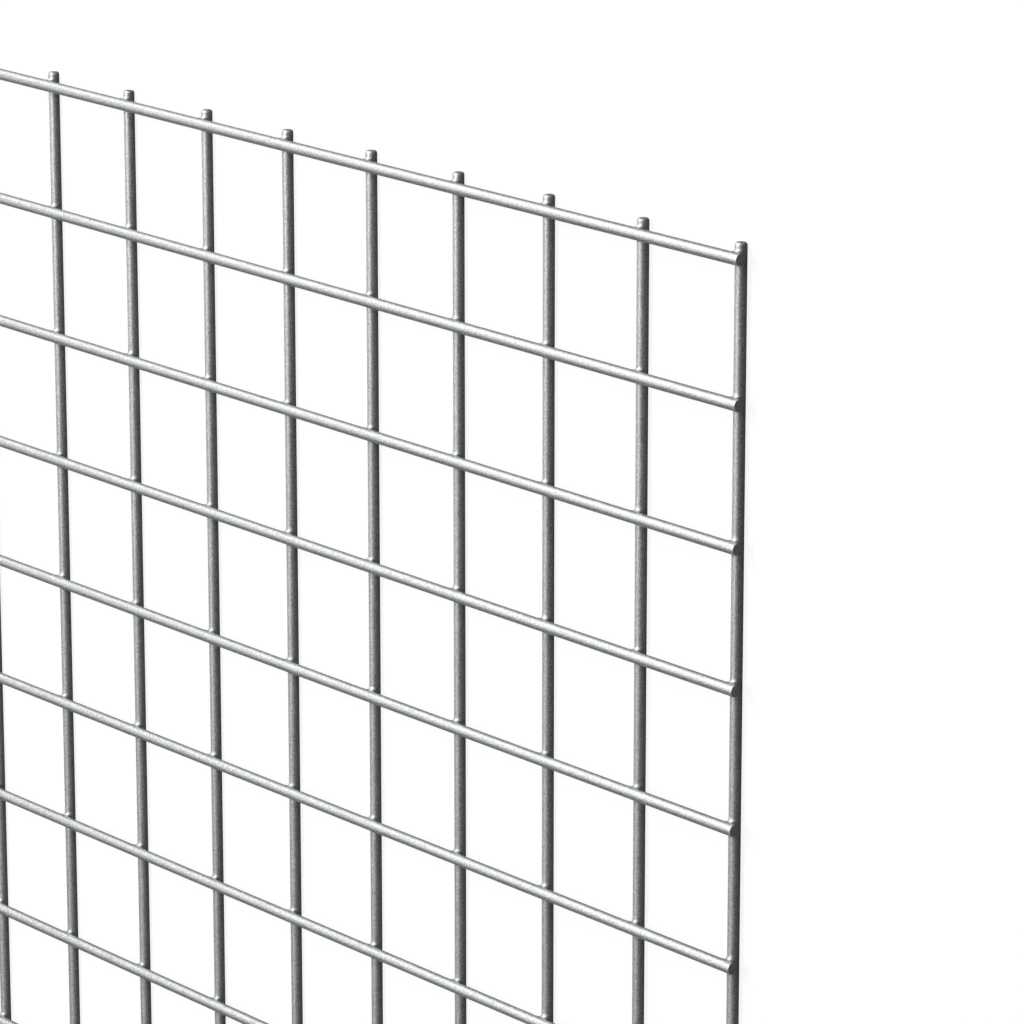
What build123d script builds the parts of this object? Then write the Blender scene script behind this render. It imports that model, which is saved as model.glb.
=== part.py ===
from build123d import *
import os

# Welded mesh sheet of round steel wire, galvanised after welding and stored lying flat.
#
# Two layers of straight wires cross at right angles. The cross wires run along Y and lie on the
# floor. The line wires run along X and lie on them. Each crossing is a spot weld that presses one
# wire a little way into the other, so the whole sheet is one solid.
#
# Millimetres, +Z up. The origin is on the floor, under the middle of the sheet.

# the wire
wire_diameter = 4.2  # over the zinc, across the flats of the section
wire_sides = 12  # flat sides that stand for the round section
end_chamfer = 0.45  # broken rim of each cut and coated wire end

# the mesh
cell_length = 50.0  # from one cross wire's axis to the next, along X
cell_width = 50.0  # from one line wire's axis to the next, along Y
cells_along = 24
cells_across = 12

# the welds and the trimmed edges
weld_set_down = 0.3  # how far each weld presses the upper wire into the lower one
line_wire_overhang = 4.1  # from the last cross wire's axis to a line wire's end
cross_wire_overhang = 5.0  # from the last line wire's axis to a cross wire's end

# places that follow from the sizes above
mesh_length = cells_along * cell_length
mesh_width = cells_across * cell_width
cross_axis_height = wire_diameter / 2
line_axis_height = cross_axis_height + wire_diameter - weld_set_down


def straight_wire(length):
    """One wire along Z, centred on the origin, with flats facing X and Y and both rims broken."""
    half_flat_angle = 180 / wire_sides
    section = RegularPolygon(
        wire_diameter / 2, wire_sides, major_radius=False, rotation=half_flat_angle
    )
    bar = extrude(section, length / 2, both=True)
    ends = bar.faces().sort_by(Axis.Z)
    rims = ends[0].edges() + ends[-1].edges()
    return chamfer(rims, end_chamfer)


def row_of_places(count, step):
    """Places along a row of evenly spaced wires, centred on zero."""
    return [(index - (count - 1) / 2) * step for index in range(count)]


def line_wires():
    """The upper wires, along X, one at each side of every row of cells."""
    wire = Rot(0, 90, 0) * straight_wire(mesh_length + 2 * line_wire_overhang)
    rows = row_of_places(cells_across + 1, cell_width)
    return [Pos(0, y, line_axis_height) * wire for y in rows]


def cross_wires():
    """The lower wires, along Y, one at each end of every column of cells."""
    wire = Rot(90, 0, 0) * straight_wire(mesh_width + 2 * cross_wire_overhang)
    columns = row_of_places(cells_along + 1, cell_length)
    return [Pos(x, 0, cross_axis_height) * wire for x in columns]


def mesh_sheet():
    """All the wires, fused where they cross."""
    upper = line_wires()
    lower = cross_wires()
    sheet = upper[0].fuse(*upper[1:], *lower)
    sheet.label = "wire_mesh_sheet"
    return sheet


os.makedirs("parts", exist_ok=True)
sheet = mesh_sheet()
export_step(sheet, "parts/wire_mesh_sheet.step")
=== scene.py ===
import math

import bmesh
import bpy
from mathutils import Matrix, Vector


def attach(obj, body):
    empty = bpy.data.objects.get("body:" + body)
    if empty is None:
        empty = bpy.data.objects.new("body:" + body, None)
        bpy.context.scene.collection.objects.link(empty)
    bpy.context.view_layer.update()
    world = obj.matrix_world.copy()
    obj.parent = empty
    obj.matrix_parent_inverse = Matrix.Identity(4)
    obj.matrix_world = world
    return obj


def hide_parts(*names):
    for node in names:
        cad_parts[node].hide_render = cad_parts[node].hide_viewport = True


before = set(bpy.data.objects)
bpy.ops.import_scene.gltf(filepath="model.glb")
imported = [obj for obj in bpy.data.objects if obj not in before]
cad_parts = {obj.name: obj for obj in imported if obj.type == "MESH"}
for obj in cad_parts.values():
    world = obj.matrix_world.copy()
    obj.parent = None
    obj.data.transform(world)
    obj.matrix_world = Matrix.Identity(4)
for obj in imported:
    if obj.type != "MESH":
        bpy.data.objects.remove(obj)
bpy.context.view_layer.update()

# A sheet of welded wire mesh, galvanised after welding, and the plain studio that it lies in.
# Metres throughout. The sheet lies on the floor, with its length along X and its upper wires
# along X too.

bl_info = {
    "name": "Welded wire mesh sheet",
    "version": (1, 0, 0),
    "blender": (4, 5, 0),
    "location": "View3D > Sidebar > Wire mesh",
    "description": "Makes a galvanised sheet of welded wire mesh and a plain studio for it",
    "category": "Add Mesh",
}

SHEET_NODE = "wire_mesh_sheet"
MM = 0.001


def linear(hex_colour):
    """An sRGB colour such as 9FA3A5 as four linear values."""
    shares = [int(hex_colour[i:i + 2], 16) / 255 for i in (0, 2, 4)]
    return [s / 12.92 if s <= 0.04045 else ((s + 0.055) / 1.055) ** 2.4 for s in shares] + [1.0]


def add_node(tree, kind, inputs=None, **settings):
    """Add a node, set its settings, and fill or link its inputs by name or number."""
    node = tree.nodes.new(kind)
    for name, value in settings.items():
        setattr(node, name, value)
    for name, value in (inputs or {}).items():
        if isinstance(value, bpy.types.NodeSocket):
            tree.links.new(value, node.inputs[name])
        else:
            node.inputs[name].default_value = value
    return node


class SheetSizes(bpy.types.PropertyGroup):
    """The sizes of the sheet and of its wire."""

    cell_length: bpy.props.FloatProperty(
        name="Cell length", description="From one cross wire's axis to the next, along X",
        default=50 * MM, unit="LENGTH",
    )
    cell_width: bpy.props.FloatProperty(
        name="Cell width", description="From one line wire's axis to the next, along Y",
        default=50 * MM, unit="LENGTH",
    )
    cells_along: bpy.props.IntProperty(
        name="Cells along", description="How many cells lie along X", default=24, min=2,
    )
    cells_across: bpy.props.IntProperty(
        name="Cells across", description="How many cells lie along Y", default=12, min=2,
    )
    wire_diameter: bpy.props.FloatProperty(
        name="Wire diameter", description="Over the zinc", default=4.2 * MM, unit="LENGTH",
    )
    weld_set_down: bpy.props.FloatProperty(
        name="Weld set-down", description="How far a weld presses one wire into the other",
        default=0.3 * MM, unit="LENGTH",
    )
    line_wire_overhang: bpy.props.FloatProperty(
        name="Line wire overhang", description="From the last cross wire's axis to the end",
        default=4.1 * MM, unit="LENGTH",
    )
    cross_wire_overhang: bpy.props.FloatProperty(
        name="Cross wire overhang", description="From the last line wire's axis to the end",
        default=5.0 * MM, unit="LENGTH",
    )
    zinc_fillet: bpy.props.FloatProperty(
        name="Zinc fillet", description="Radius of the zinc between the two wires of a weld",
        default=0.8 * MM, unit="LENGTH",
    )
    zinc_web: bpy.props.FloatProperty(
        name="Zinc web", description="How much larger that radius is in the corners of a weld",
        default=0.7 * MM, unit="LENGTH",
    )
    weld_half_length: bpy.props.FloatProperty(
        name="Weld half-length", description="How far the zinc of a weld reaches along a wire",
        default=3.3 * MM, unit="LENGTH",
    )
    line_rim: bpy.props.FloatProperty(
        name="Line wire rim", description="Radius of the rim at a line wire's cut end",
        default=0.3 * MM, unit="LENGTH",
    )
    cross_rim: bpy.props.FloatProperty(
        name="Cross wire rim", description="Radius of the rim at a cross wire's cut end",
        default=0.85 * MM, unit="LENGTH",
    )
    span_edge: bpy.props.FloatProperty(
        name="Span edge", description="Short stretch that keeps a weld's bend off the bare wire",
        default=1.5 * MM, unit="LENGTH",
    )
    unevenness: bpy.props.FloatProperty(
        name="Unevenness", description="How much thinner than its full size the zinc may run",
        default=0.05 * MM, unit="LENGTH",
    )
    seed: bpy.props.IntProperty(
        name="Seed", description="Picks the pattern of the unevenness", default=7,
    )


class ZincColours(bpy.types.PropertyGroup):
    """The colours of the zinc coat."""

    light: bpy.props.FloatVectorProperty(
        name="Light zinc", description="The brighter crystals", subtype="COLOR", size=4,
        min=0, max=1, default=linear("DCDEDE"),
    )
    dark: bpy.props.FloatVectorProperty(
        name="Dark zinc", description="The duller crystals and the grain between them",
        subtype="COLOR", size=4, min=0, max=1, default=linear("A4A7A9"),
    )


class StageSizes(bpy.types.PropertyGroup):
    """The studio: its floor, its lamps and the photograph's viewing angle."""

    floor_size: bpy.props.FloatProperty(
        name="Floor size", description="Side of the square floor", default=60, unit="LENGTH",
    )
    view_azimuth: bpy.props.FloatProperty(
        name="View azimuth", description="From the sheet's normal towards its +X edge",
        default=math.radians(50.508), subtype="ANGLE",
    )
    view_elevation: bpy.props.FloatProperty(
        name="View elevation", description="From the sheet's normal towards its +Y edge",
        default=math.radians(15.2), subtype="ANGLE",
    )
    lens: bpy.props.FloatProperty(
        name="Lens", description="Focal length in millimetres on a 36 mm sensor", default=190.653,
    )


# the zinc of a weld

RADIUS_HALVINGS = 30  # of the range that the zinc's radius is looked for in


def fillet_middle(radius, fillet):
    """Distance from each wire's axis to the middle of the fillet between the two wires."""
    return radius + fillet * (1 - math.sqrt(0.5))


def seam_point(azimuth, axis_offset, seam_radius):
    """Where the two wires' zinc meets, seen at an angle about Z from the middle of a weld.

    The seam lies on the saddle that is as far from one wire's axis as from the other's.
    """
    # on the saddle, height = -reach squared * spread / (4 * axis_offset), and the reach follows
    # from a quadratic equation for its square, solved in the form that stays exact at spread 0
    spread = math.cos(2 * azimuth)
    slack = seam_radius ** 2 - axis_offset ** 2
    root = math.sqrt(0.25 + slack * (spread / (2 * axis_offset)) ** 2)
    square = 2 * slack / (0.5 + root)
    reach = math.sqrt(square)
    height = -square * spread / (4 * axis_offset)
    return reach * math.cos(azimuth), reach * math.sin(azimuth), height


def zinc_radius(along, angle, radius, axis_offset, fillet):
    """Distance from the upper wire's axis to the zinc, the angle counted from straight down.

    The zinc is the two wires joined by a fillet, as if a ball of that radius rolled between them.
    """
    low = radius
    high = fillet_middle(radius, fillet)
    for _ in range(RADIUS_HALVINGS):
        middle = (low + high) / 2
        height = 2 * axis_offset - middle * math.cos(angle)
        to_upper = middle - radius
        to_lower = math.hypot(along, height) - radius
        into_upper = max(fillet - to_upper, 0)
        into_lower = max(fillet - to_lower, 0)
        outside = max(fillet, min(to_upper, to_lower)) - math.hypot(into_upper, into_lower)
        if outside > 0:
            high = middle
        else:
            low = middle
    return (low + high) / 2


# the wires

WIRE_SIDES = 12  # with a flat side straight down, as in the CAD model
SIDE_ANGLE = 2 * math.pi / WIRE_SIDES
NEAR_SIDES = 7  # sides of a wire that its zinc joins to the other wire of a weld
FAR_SIDES = WIRE_SIDES - NEAR_SIDES
WELD_STEPS = 3  # stretches along a wire within a weld
SEAM_POINTS = 2 * (NEAR_SIDES + WELD_STEPS)
ZINC_LAYERS = 2  # rings of faces from the seam of a weld out to the bare wire
RIM_STEPS = 3


def corner_radius(sizes):
    """Radius of the corners of a wire whose flat sides stand at its full size."""
    return sizes.wire_diameter / 2 / math.cos(SIDE_ANGLE / 2)


def bare_edge(reach):
    """Places round the edge of a weld's zinc, as (place along the wire, angle about it)."""
    widest = NEAR_SIDES / 2 * SIDE_ANGLE
    edge = []
    for sign in (1, -1):
        for i in range(NEAR_SIDES):
            edge.append((sign * reach, sign * (i * SIDE_ANGLE - widest)))
        for i in range(WELD_STEPS):
            edge.append((sign * reach * (1 - 2 * i / WELD_STEPS), sign * widest))
    start = (NEAR_SIDES + 1) // 2
    return edge[start:] + edge[:start]


def weld_half(sizes, turned):
    """One wire's share of a weld: its zinc, from the seam to the bare wire, and its far side.

    The wire lies along X above the seam. Turned, the same share is laid along Y below it.
    """
    mesh = bmesh.new()
    radius = corner_radius(sizes)
    offset = (sizes.wire_diameter - sizes.weld_set_down) / 2
    middle_height = sizes.wire_diameter / 2 + offset
    reach = sizes.weld_half_length

    def place(x, y, z):
        if turned:
            x, y, z = -y, x, -z
        return mesh.verts.new((x, y, z + middle_height))

    def place_round(along, angle, distance):
        return place(along, distance * math.sin(angle), offset - distance * math.cos(angle))

    def add_faces(near, far, closed):
        count = len(near)
        for i in range(count if closed else count - 1):
            j = (i + 1) % count
            corners = (near[i], near[j], far[j], far[i])
            mesh.faces.new(corners[::-1] if turned else corners)

    azimuths = [2 * math.pi * (i + 0.5) / SEAM_POINTS for i in range(SEAM_POINTS)]
    fillets = [
        sizes.zinc_fillet + sizes.zinc_web * math.sin(2 * azimuth) ** 2 for azimuth in azimuths
    ]
    seam = [
        seam_point(azimuth, offset, fillet_middle(radius, fillet))
        for azimuth, fillet in zip(azimuths, fillets)
    ]
    rings = [[place(*point) for point in seam]]
    edge = bare_edge(reach)
    for layer in range(1, ZINC_LAYERS + 1):
        share = layer / ZINC_LAYERS
        ring = []
        for (x, y, z), (edge_along, edge_angle), fillet in zip(seam, edge, fillets):
            seam_angle = math.atan2(y, offset - z)
            along = x + (edge_along - x) * share
            angle = seam_angle + (edge_angle - seam_angle) * share
            distance = zinc_radius(along, angle, radius, offset, fillet)
            ring.append(place_round(along, angle, distance if layer < ZINC_LAYERS else radius))
        rings.append(ring)
    for near, far in zip(rings, rings[1:]):
        add_faces(near, far, closed=True)

    # the far side, from one long edge of the zinc round to the other
    first = NEAR_SIDES // 2
    last = SEAM_POINTS - 1 - first
    rows = [rings[-1][first:first + WELD_STEPS + 1]]
    for side in range(1, FAR_SIDES):
        angle = (NEAR_SIDES / 2 + side) * SIDE_ANGLE
        rows.append([
            place_round(reach * (1 - 2 * i / WELD_STEPS), angle, radius)
            for i in range(WELD_STEPS + 1)
        ])
    rows.append(rings[-1][last - WELD_STEPS:last + 1][::-1])
    for near, far in zip(rows, rows[1:]):
        add_faces(near, far, closed=False)
    return mesh


def turned_wire(profile, height, along_y):
    """A length of wire from (place along it, radius) pairs. A radius of zero closes its end."""
    mesh = bmesh.new()
    rings = []
    for along, radius in profile:
        corners = 1 if radius == 0 else WIRE_SIDES
        ring = []
        for i in range(corners):
            angle = (i + 0.5) * SIDE_ANGLE
            side, up = radius * math.sin(angle), -radius * math.cos(angle)
            x, y = (side, along) if along_y else (along, side)
            ring.append(mesh.verts.new((x, y, height + up)))
        rings.append(ring)
    for near, far in zip(rings, rings[1:]):
        for i in range(WIRE_SIDES):
            j = (i + 1) % WIRE_SIDES
            tip = far[:1] if len(far) == 1 else (far[j], far[i])
            corners = (near[i], near[j], *tip)
            mesh.faces.new(corners[::-1] if along_y else corners)
    return mesh


def span_profile(length, radius, edge):
    """The bare wire between two welds, with a short stretch at each end."""
    half = length / 2
    return [(along, radius) for along in (-half, edge - half, half - edge, half)]


def end_profile(start, end, radius, rim):
    """A wire's end, from just past its last weld to its rounded rim and flat cut face."""
    profile = [(start, radius)]
    for i in range(RIM_STEPS + 1):
        angle = math.pi / 2 * i / RIM_STEPS
        profile.append((end - rim + rim * math.sin(angle), radius - rim + rim * math.cos(angle)))
    profile.append((end, 0))
    return profile


def mesh_object(name, mesh):
    """An object at the origin that takes over a mesh."""
    data = bpy.data.meshes.new(name)
    mesh.to_mesh(data)
    mesh.free()
    piece = bpy.data.objects.new(name, data)
    bpy.context.scene.collection.objects.link(piece)
    return piece


# the sheet's layout

MERGE_DISTANCE = 0.01 * MM
RUN_SIZE = 9 * MM  # the thick and thin places that the zinc leaves as it runs off


def sheet_tree():
    """The node tree that lays welds, spans and wire ends out over the sheet and joins them."""
    tree = bpy.data.node_groups.new("Welded mesh sheet", "GeometryNodeTree")
    face = tree.interface
    face.new_socket("Geometry", in_out="OUTPUT", socket_type="NodeSocketGeometry")
    objects = ("Upper weld", "Lower weld", "Line span", "Cross span", "Line end", "Cross end")
    for name in objects:
        face.new_socket(name, in_out="INPUT", socket_type="NodeSocketObject")
    for name in ("Cells along", "Cells across", "Seed"):
        face.new_socket(name, in_out="INPUT", socket_type="NodeSocketInt")
    for name in ("Cell length", "Cell width", "Unevenness"):
        face.new_socket(name, in_out="INPUT", socket_type="NodeSocketFloat")
    face.new_socket("Zinc", in_out="INPUT", socket_type="NodeSocketMaterial")
    given = add_node(tree, "NodeGroupInput").outputs

    shapes = {
        name: add_node(tree, "GeometryNodeObjectInfo", {"Object": given[name]}).outputs["Geometry"]
        for name in objects
    }
    joined = add_node(tree, "GeometryNodeJoinGeometry")

    def lay(name, columns, rows, length, width, turn=0.0, x=0.0, y=0.0):
        """Instances of a shape on a grid of columns and rows, moved by x and y."""
        grid = add_node(tree, "GeometryNodeMeshGrid", {
            "Size X": length, "Size Y": width, "Vertices X": columns, "Vertices Y": rows,
        })
        shift = add_node(tree, "ShaderNodeCombineXYZ", {"X": x, "Y": y})
        moved = add_node(tree, "GeometryNodeTransform", {
            "Geometry": grid.outputs["Mesh"], "Translation": shift.outputs["Vector"],
        })
        laid = add_node(tree, "GeometryNodeInstanceOnPoints", {
            "Points": moved.outputs["Geometry"], "Instance": shapes[name],
            "Rotation": (0.0, 0.0, turn),
        })
        tree.links.new(laid.outputs["Instances"], joined.inputs["Geometry"])

    along, across = given["Cells along"], given["Cells across"]
    columns = add_node(tree, "ShaderNodeMath", {0: along, 1: 1}, operation="ADD").outputs[0]
    rows = add_node(tree, "ShaderNodeMath", {0: across, 1: 1}, operation="ADD").outputs[0]
    fewer_along = add_node(tree, "ShaderNodeMath", {0: along, 1: 1}, operation="SUBTRACT")
    fewer_across = add_node(tree, "ShaderNodeMath", {0: across, 1: 1}, operation="SUBTRACT")
    length, width, inner_length, inner_width = (
        add_node(tree, "ShaderNodeMath", {0: count, 1: size}, operation="MULTIPLY").outputs[0]
        for count, size in (
            (along, given["Cell length"]), (across, given["Cell width"]),
            (fewer_along.outputs[0], given["Cell length"]),
            (fewer_across.outputs[0], given["Cell width"]),
        )
    )
    lay("Upper weld", columns, rows, length, width)
    lay("Lower weld", columns, rows, length, width)
    lay("Line span", along, rows, inner_length, width)
    lay("Cross span", columns, across, length, inner_width)
    for side, turn in ((0.5, 0.0), (-0.5, math.pi)):
        edge_x = add_node(tree, "ShaderNodeMath", {0: length, 1: side}, operation="MULTIPLY")
        edge_y = add_node(tree, "ShaderNodeMath", {0: width, 1: side}, operation="MULTIPLY")
        lay("Line end", 1, rows, 0.0, width, turn, x=edge_x.outputs[0])
        lay("Cross end", columns, 1, length, 0.0, turn, y=edge_y.outputs[0])

    realized = add_node(tree, "GeometryNodeRealizeInstances", {"Geometry": joined.outputs[0]})
    merged = add_node(tree, "GeometryNodeMergeByDistance", {
        "Geometry": realized.outputs[0], "Distance": MERGE_DISTANCE,
    })
    runs = add_node(tree, "ShaderNodeTexNoise", {
        "W": given["Seed"], "Scale": 1 / RUN_SIZE, "Detail": 1.0,
    }, noise_dimensions="4D")
    thinner = add_node(tree, "ShaderNodeMath", {
        0: runs.outputs[0], 1: given["Unevenness"],
    }, operation="MULTIPLY")
    inward = add_node(tree, "ShaderNodeMath", {
        0: thinner.outputs[0], 1: -1,
    }, operation="MULTIPLY")
    normal = add_node(tree, "GeometryNodeInputNormal").outputs[0]
    shift = add_node(tree, "ShaderNodeVectorMath", {
        0: normal, "Scale": inward.outputs[0],
    }, operation="SCALE")
    uneven = add_node(tree, "GeometryNodeSetPosition", {
        "Geometry": merged.outputs[0], "Offset": shift.outputs[0],
    })
    smooth = add_node(tree, "GeometryNodeSetShadeSmooth", {"Geometry": uneven.outputs[0]})
    coated = add_node(tree, "GeometryNodeSetMaterial", {
        "Geometry": smooth.outputs[0], "Material": given["Zinc"],
    })
    add_node(tree, "NodeGroupOutput", {"Geometry": coated.outputs[0]})
    return tree


# the finish

GRAIN_SIZE = 0.8 * MM  # drawn at twice the real 0.4 mm, which is too fine to show in the render
PATCH_SIZE = 5 * MM  # brighter and duller places along a wire
PATCH_SHARE = 0.3  # of the colour's variation; the grain has the rest
GRAIN_RELIEF = 0.02 * MM
GRAIN_LOW, GRAIN_HIGH = 0.3, 0.7  # the noise between these is spread over the whole range
SMOOTHEST, ROUGHEST = 0.50, 0.60  # a zinc coat scatters each light into a broad soft sheen


def hot_dip_zinc(colours):
    """Steel wire dipped in molten zinc after it was welded."""
    # To the eye it is a satin metal: a soft white band along each wire's lit side that fades to
    # charcoal below, with a fine sandy grain and some duller places where the zinc froze.
    material = bpy.data.materials.new("Hot-dip galvanised steel")
    material.use_nodes = True
    tree = material.node_tree
    shader = tree.nodes["Principled BSDF"]
    shader.distribution = "GGX"  # without multiple scatter, which lightens the charcoal
    shader.inputs["Metallic"].default_value = 1.0
    place = add_node(tree, "ShaderNodeTexCoord").outputs["Object"]
    grain = add_node(tree, "ShaderNodeTexNoise", {
        "Vector": place, "Scale": 1 / GRAIN_SIZE, "Detail": 1.0,
    })
    sharper = add_node(tree, "ShaderNodeMapRange", {
        "Value": grain.outputs["Fac"], "From Min": GRAIN_LOW, "From Max": GRAIN_HIGH,
    })
    patches = add_node(tree, "ShaderNodeTexNoise", {
        "Vector": place, "Scale": 1 / PATCH_SIZE, "Detail": 3.0, "Roughness": 0.55,
    })
    mixed = add_node(tree, "ShaderNodeMix", {
        "Factor": PATCH_SHARE, "A": sharper.outputs[0], "B": patches.outputs["Fac"],
    })
    colour = add_node(tree, "ShaderNodeMix", {
        "Factor": mixed.outputs[0], "A": list(colours.dark), "B": list(colours.light),
    }, data_type="RGBA")
    rough = add_node(tree, "ShaderNodeMapRange", {
        "Value": grain.outputs["Fac"], "To Min": SMOOTHEST, "To Max": ROUGHEST,
    })
    bump = add_node(tree, "ShaderNodeBump", {
        "Strength": 1.0, "Distance": GRAIN_RELIEF, "Height": sharper.outputs[0],
    })
    tree.links.new(colour.outputs["Result"], shader.inputs["Base Color"])
    tree.links.new(rough.outputs["Result"], shader.inputs["Roughness"])
    tree.links.new(bump.outputs["Normal"], shader.inputs["Normal"])
    return material


# the sheet


def sheet_shapes(sizes):
    """The shapes that repeat over the sheet, by the names of the tree's inputs."""
    radius = corner_radius(sizes)
    reach = sizes.weld_half_length
    cross_height = sizes.wire_diameter / 2
    line_height = cross_height + sizes.wire_diameter - sizes.weld_set_down
    line_span = span_profile(sizes.cell_length - 2 * reach, radius, sizes.span_edge)
    cross_span = span_profile(sizes.cell_width - 2 * reach, radius, sizes.span_edge)
    line_end = end_profile(reach, sizes.line_wire_overhang, radius, sizes.line_rim)
    cross_end = end_profile(reach, sizes.cross_wire_overhang, radius, sizes.cross_rim)
    shapes = {
        "Upper weld": weld_half(sizes, turned=False),
        "Lower weld": weld_half(sizes, turned=True),
        "Line span": turned_wire(line_span, line_height, along_y=False),
        "Cross span": turned_wire(cross_span, cross_height, along_y=True),
        "Line end": turned_wire(line_end, line_height, along_y=False),
        "Cross end": turned_wire(cross_end, cross_height, along_y=True),
    }
    return {name: mesh_object(name, mesh) for name, mesh in shapes.items()}


def grown_mesh(context, tree, values):
    """The plain mesh that a node tree makes from the values of its inputs."""
    holder = mesh_object("sheet_layout", bmesh.new())
    layout = holder.modifiers.new("Layout", "NODES")
    layout.node_group = tree
    for socket in tree.interface.items_tree:
        if socket.in_out == "INPUT":
            layout[socket.identifier] = values[socket.name]
    context.view_layer.update()
    evaluated = holder.evaluated_get(context.evaluated_depsgraph_get())
    data = bpy.data.meshes.new_from_object(evaluated)
    holder.modifiers.remove(layout)
    bpy.data.objects.remove(holder)
    return data


def face_outwards(data):
    """Turn the faces of a closed mesh outwards, and stop the script if it isn't closed."""
    mesh = bmesh.new()
    mesh.from_mesh(data)
    bmesh.ops.recalc_face_normals(mesh, faces=mesh.faces)
    open_edges = sum(1 for edge in mesh.edges if len(edge.link_faces) != 2)
    if open_edges:
        raise RuntimeError(f"the sheet has {open_edges} open edges")
    mesh.to_mesh(data)
    mesh.free()


class MakeMeshSheet(bpy.types.Operator):
    """Make the sheet of welded and galvanised wires"""

    bl_idname = "wire_mesh.make_sheet"
    bl_label = "Make mesh sheet"

    def execute(self, context):
        sizes = context.scene.sheet_sizes
        shapes = sheet_shapes(sizes)
        values = dict(shapes)
        values["Cells along"] = sizes.cells_along
        values["Cells across"] = sizes.cells_across
        values["Cell length"] = sizes.cell_length
        values["Cell width"] = sizes.cell_width
        values["Unevenness"] = sizes.unevenness
        values["Seed"] = sizes.seed
        values["Zinc"] = hot_dip_zinc(context.scene.zinc_colours)
        data = grown_mesh(context, sheet_tree(), values)
        for piece in shapes.values():
            bpy.data.objects.remove(piece)
        face_outwards(data)
        data.name = "mesh_sheet"
        sheet = bpy.data.objects.new("mesh_sheet", data)
        context.scene.collection.objects.link(sheet)
        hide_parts(SHEET_NODE)
        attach(sheet, "root")
        return {"FINISHED"}


# the studio

WHITE_TO_CAMERA = 0.9  # the rest keeps the floor's own shading, so the sheet's shadow shows
WHITE_TO_METAL = 0.05  # the photographed wires are charcoal below, so they mirror little white
PLAIN_WHITE = "FFFFFF"
FLOOR_SHADE_FOR_METAL = "3A3A3A"  # the floor's colour for all but the camera, for the same reason: a painted shade that the wires mirror below
FLOOR_ROUGHNESS = 0.9
ROOM_LIGHT = 0.01


def add_white(tree, own, kind):
    """Mix a shader with the photograph's white: most of it for the camera, some for the metal."""
    path = add_node(tree, "ShaderNodeLightPath").outputs
    mirrored = add_node(tree, "ShaderNodeMath", {
        0: path["Is Glossy Ray"], 1: path["Is Transmission Ray"],
    }, operation="MAXIMUM")
    for_metal = add_node(tree, "ShaderNodeMath", {
        0: mirrored.outputs[0], 1: WHITE_TO_METAL,
    }, operation="MULTIPLY")
    share = add_node(tree, "ShaderNodeMath", {
        0: path["Is Camera Ray"], 1: WHITE_TO_CAMERA, 2: for_metal.outputs[0],
    }, operation="MULTIPLY_ADD")
    white = add_node(tree, kind, {"Color": linear(PLAIN_WHITE), "Strength": 1.0})
    return add_node(tree, "ShaderNodeMixShader", {
        "Fac": share.outputs[0], 1: own, 2: white.outputs[0],
    }).outputs[0]


def matt_floor():
    """A floor with matt paint, white to the camera and dark to the metal, a painted shade that the
    wires mirror below.
    """
    # To the eye it is an even white ground with a faint soft shadow and no gloss.
    material = bpy.data.materials.new("Matt painted floor")
    material.use_nodes = True
    tree = material.node_tree
    shader = tree.nodes["Principled BSDF"]
    camera = add_node(tree, "ShaderNodeLightPath").outputs["Is Camera Ray"]
    # white for the camera; for all other rays a dark grey, painted shade that the wires mirror on
    # their undersides
    colour = add_node(tree, "ShaderNodeMix", {
        "Factor": camera, "A": linear(FLOOR_SHADE_FOR_METAL), "B": linear(PLAIN_WHITE),
    }, data_type="RGBA")
    tree.links.new(colour.outputs["Result"], shader.inputs["Base Color"])
    shader.inputs["Roughness"].default_value = FLOOR_ROUGHNESS
    surface = add_white(tree, shader.outputs[0], "ShaderNodeEmission")
    tree.links.new(surface, tree.nodes["Material Output"].inputs["Surface"])
    return material


def studio_world():
    """A dim even room, white where the camera looks past the floor."""
    world = bpy.data.worlds.new("Studio")
    world.use_nodes = True
    tree = world.node_tree
    own = tree.nodes["Background"]
    own.inputs["Color"].default_value = linear(PLAIN_WHITE)
    own.inputs["Strength"].default_value = ROOM_LIGHT
    surface = add_white(tree, own.outputs[0], "ShaderNodeBackground")
    tree.links.new(surface, tree.nodes["World Output"].inputs["Surface"])
    return world


def add_softbox(scene, name, azimuth, elevation, distance, width, height, power):
    """A soft lamp that looks at the middle of the sheet, its azimuth counted from +X to +Y."""
    lamp = bpy.data.lights.new(name, "AREA")
    lamp.shape = "RECTANGLE"
    lamp.size = width
    lamp.size_y = height
    lamp.energy = power
    piece = bpy.data.objects.new(name, lamp)
    around, above = math.radians(azimuth), math.radians(elevation)
    back = Vector((
        math.cos(around) * math.cos(above), math.sin(around) * math.cos(above), math.sin(above),
    ))
    piece.location = back * distance
    piece.rotation_euler = back.to_track_quat("Z", "Y").to_euler()
    piece.visible_camera = False
    scene.collection.objects.link(piece)


LAMPS = (  # name, azimuth and elevation in degrees, distance, width and height, power in watts
    ("key_softbox", 115, 20, 2.0, 1.55, 1.15, 26),
    ("side_softbox", 90, 64, 2.0, 0.6, 2.0, 47),
    ("rim_softbox", 180, 18, 3.0, 1.6, 1.5, 16),
    ("fill_softbox", 55, 35, 3.0, 1.8, 1.6, 14),
    ("front_softbox", 290, 35, 3.0, 2.2, 2.0, 14),
)

SENSOR_WIDTH = 36  # millimetres
FARTHEST_VIEW = 100
CAMERA_PLACE = (26.3157, 7.8407, 23.6677)  # in cells, from the cross wire's axis at the corner


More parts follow.
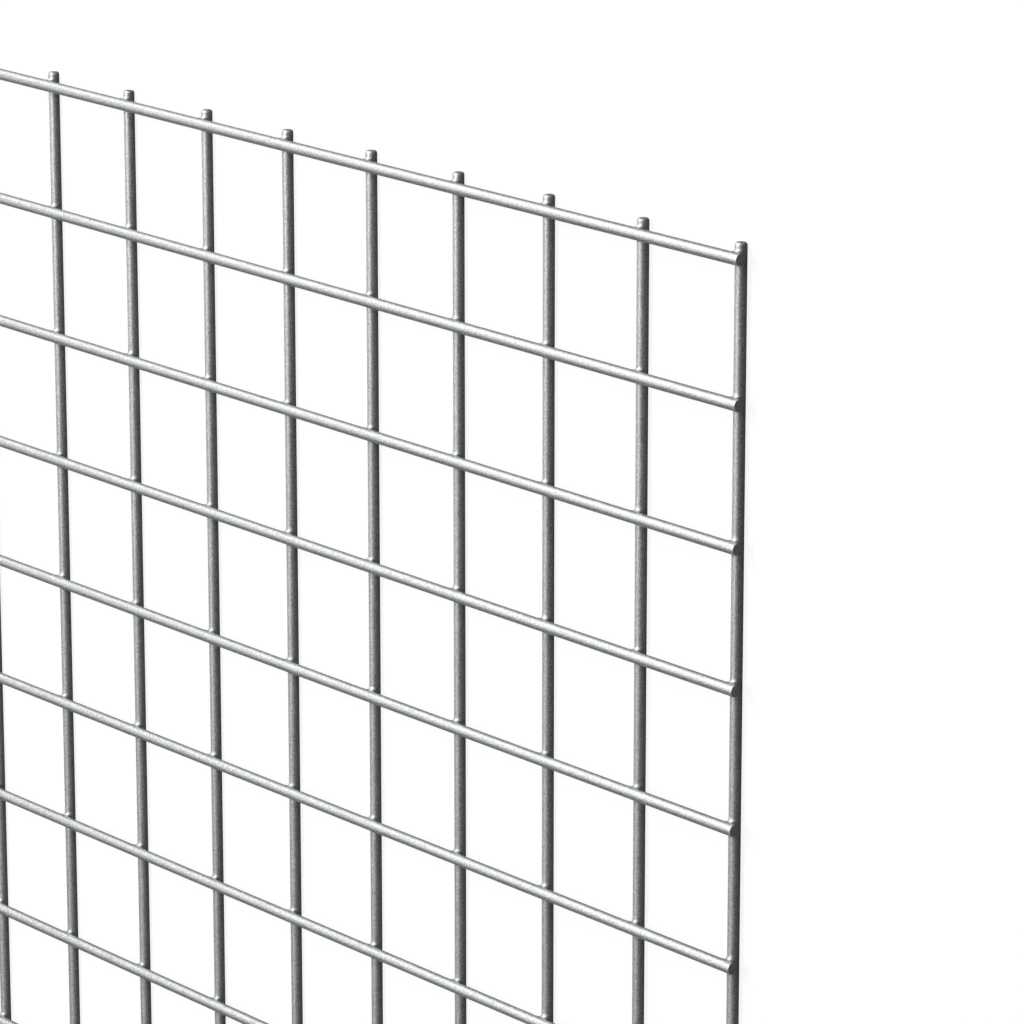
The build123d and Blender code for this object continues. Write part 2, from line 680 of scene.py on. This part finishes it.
def add_camera(scene, stage, sizes):
    """The camera at the photograph's viewing angle, upright along the cross wires."""
    lens = bpy.data.cameras.new("Camera")
    lens.sensor_width = SENSOR_WIDTH
    lens.lens = stage.lens
    lens.clip_end = FARTHEST_VIEW
    camera = bpy.data.objects.new("Camera", lens)
    scene.collection.objects.link(camera)
    azimuth, elevation = stage.view_azimuth, stage.view_elevation
    back = Vector((
        math.sin(azimuth) * math.cos(elevation),
        math.sin(elevation),
        math.cos(azimuth) * math.cos(elevation),
    ))
    right = Vector((0, 1, 0)).cross(back).normalized()
    up = back.cross(right)
    turn = Matrix((right, up, back)).transposed().to_4x4()
    corner = Vector((
        sizes.cells_along * sizes.cell_length / 2,
        sizes.cells_across * sizes.cell_width / 2,
        sizes.wire_diameter / 2,
    ))
    place = corner + Vector(CAMERA_PLACE) * sizes.cell_length
    camera.matrix_world = Matrix.Translation(place) @ turn
    scene.camera = camera


class MakeStage(bpy.types.Operator):
    """Make the white floor, the soft light and the camera"""

    bl_idname = "wire_mesh.make_stage"
    bl_label = "Make stage"

    def execute(self, context):
        scene = context.scene
        stage = scene.stage_sizes
        mesh = bmesh.new()
        bmesh.ops.create_grid(mesh, x_segments=1, y_segments=1, size=stage.floor_size / 2)
        floor = mesh_object("floor", mesh)
        floor.data.materials.append(matt_floor())
        for lamp in LAMPS:
            add_softbox(scene, *lamp)
        scene.world = studio_world()
        add_camera(scene, stage, scene.sheet_sizes)
        scene.view_settings.view_transform = "Standard"
        return {"FINISHED"}


class WireMeshPanel(bpy.types.Panel):
    """Buttons for the sheet and its studio"""

    bl_idname = "VIEW3D_PT_wire_mesh"
    bl_label = "Wire mesh"
    bl_space_type = "VIEW_3D"
    bl_region_type = "UI"
    bl_category = "Wire mesh"

    def draw(self, context):
        for operator in OPERATORS:
            self.layout.operator(operator.bl_idname)


GROUPS = {"sheet_sizes": SheetSizes, "zinc_colours": ZincColours, "stage_sizes": StageSizes}
OPERATORS = (MakeMeshSheet, MakeStage)


def register():
    for name, group in GROUPS.items():
        bpy.utils.register_class(group)
        setattr(bpy.types.Scene, name, bpy.props.PointerProperty(type=group))
    for operator in OPERATORS:
        bpy.utils.register_class(operator)
    bpy.utils.register_class(WireMeshPanel)


def unregister():
    bpy.utils.unregister_class(WireMeshPanel)
    for operator in OPERATORS:
        bpy.utils.unregister_class(operator)
    for name, group in GROUPS.items():
        delattr(bpy.types.Scene, name)
        bpy.utils.unregister_class(group)


def main():
    register()
    bpy.ops.wire_mesh.make_sheet()
    bpy.ops.wire_mesh.make_stage()


if __name__ == "__main__":
    main()
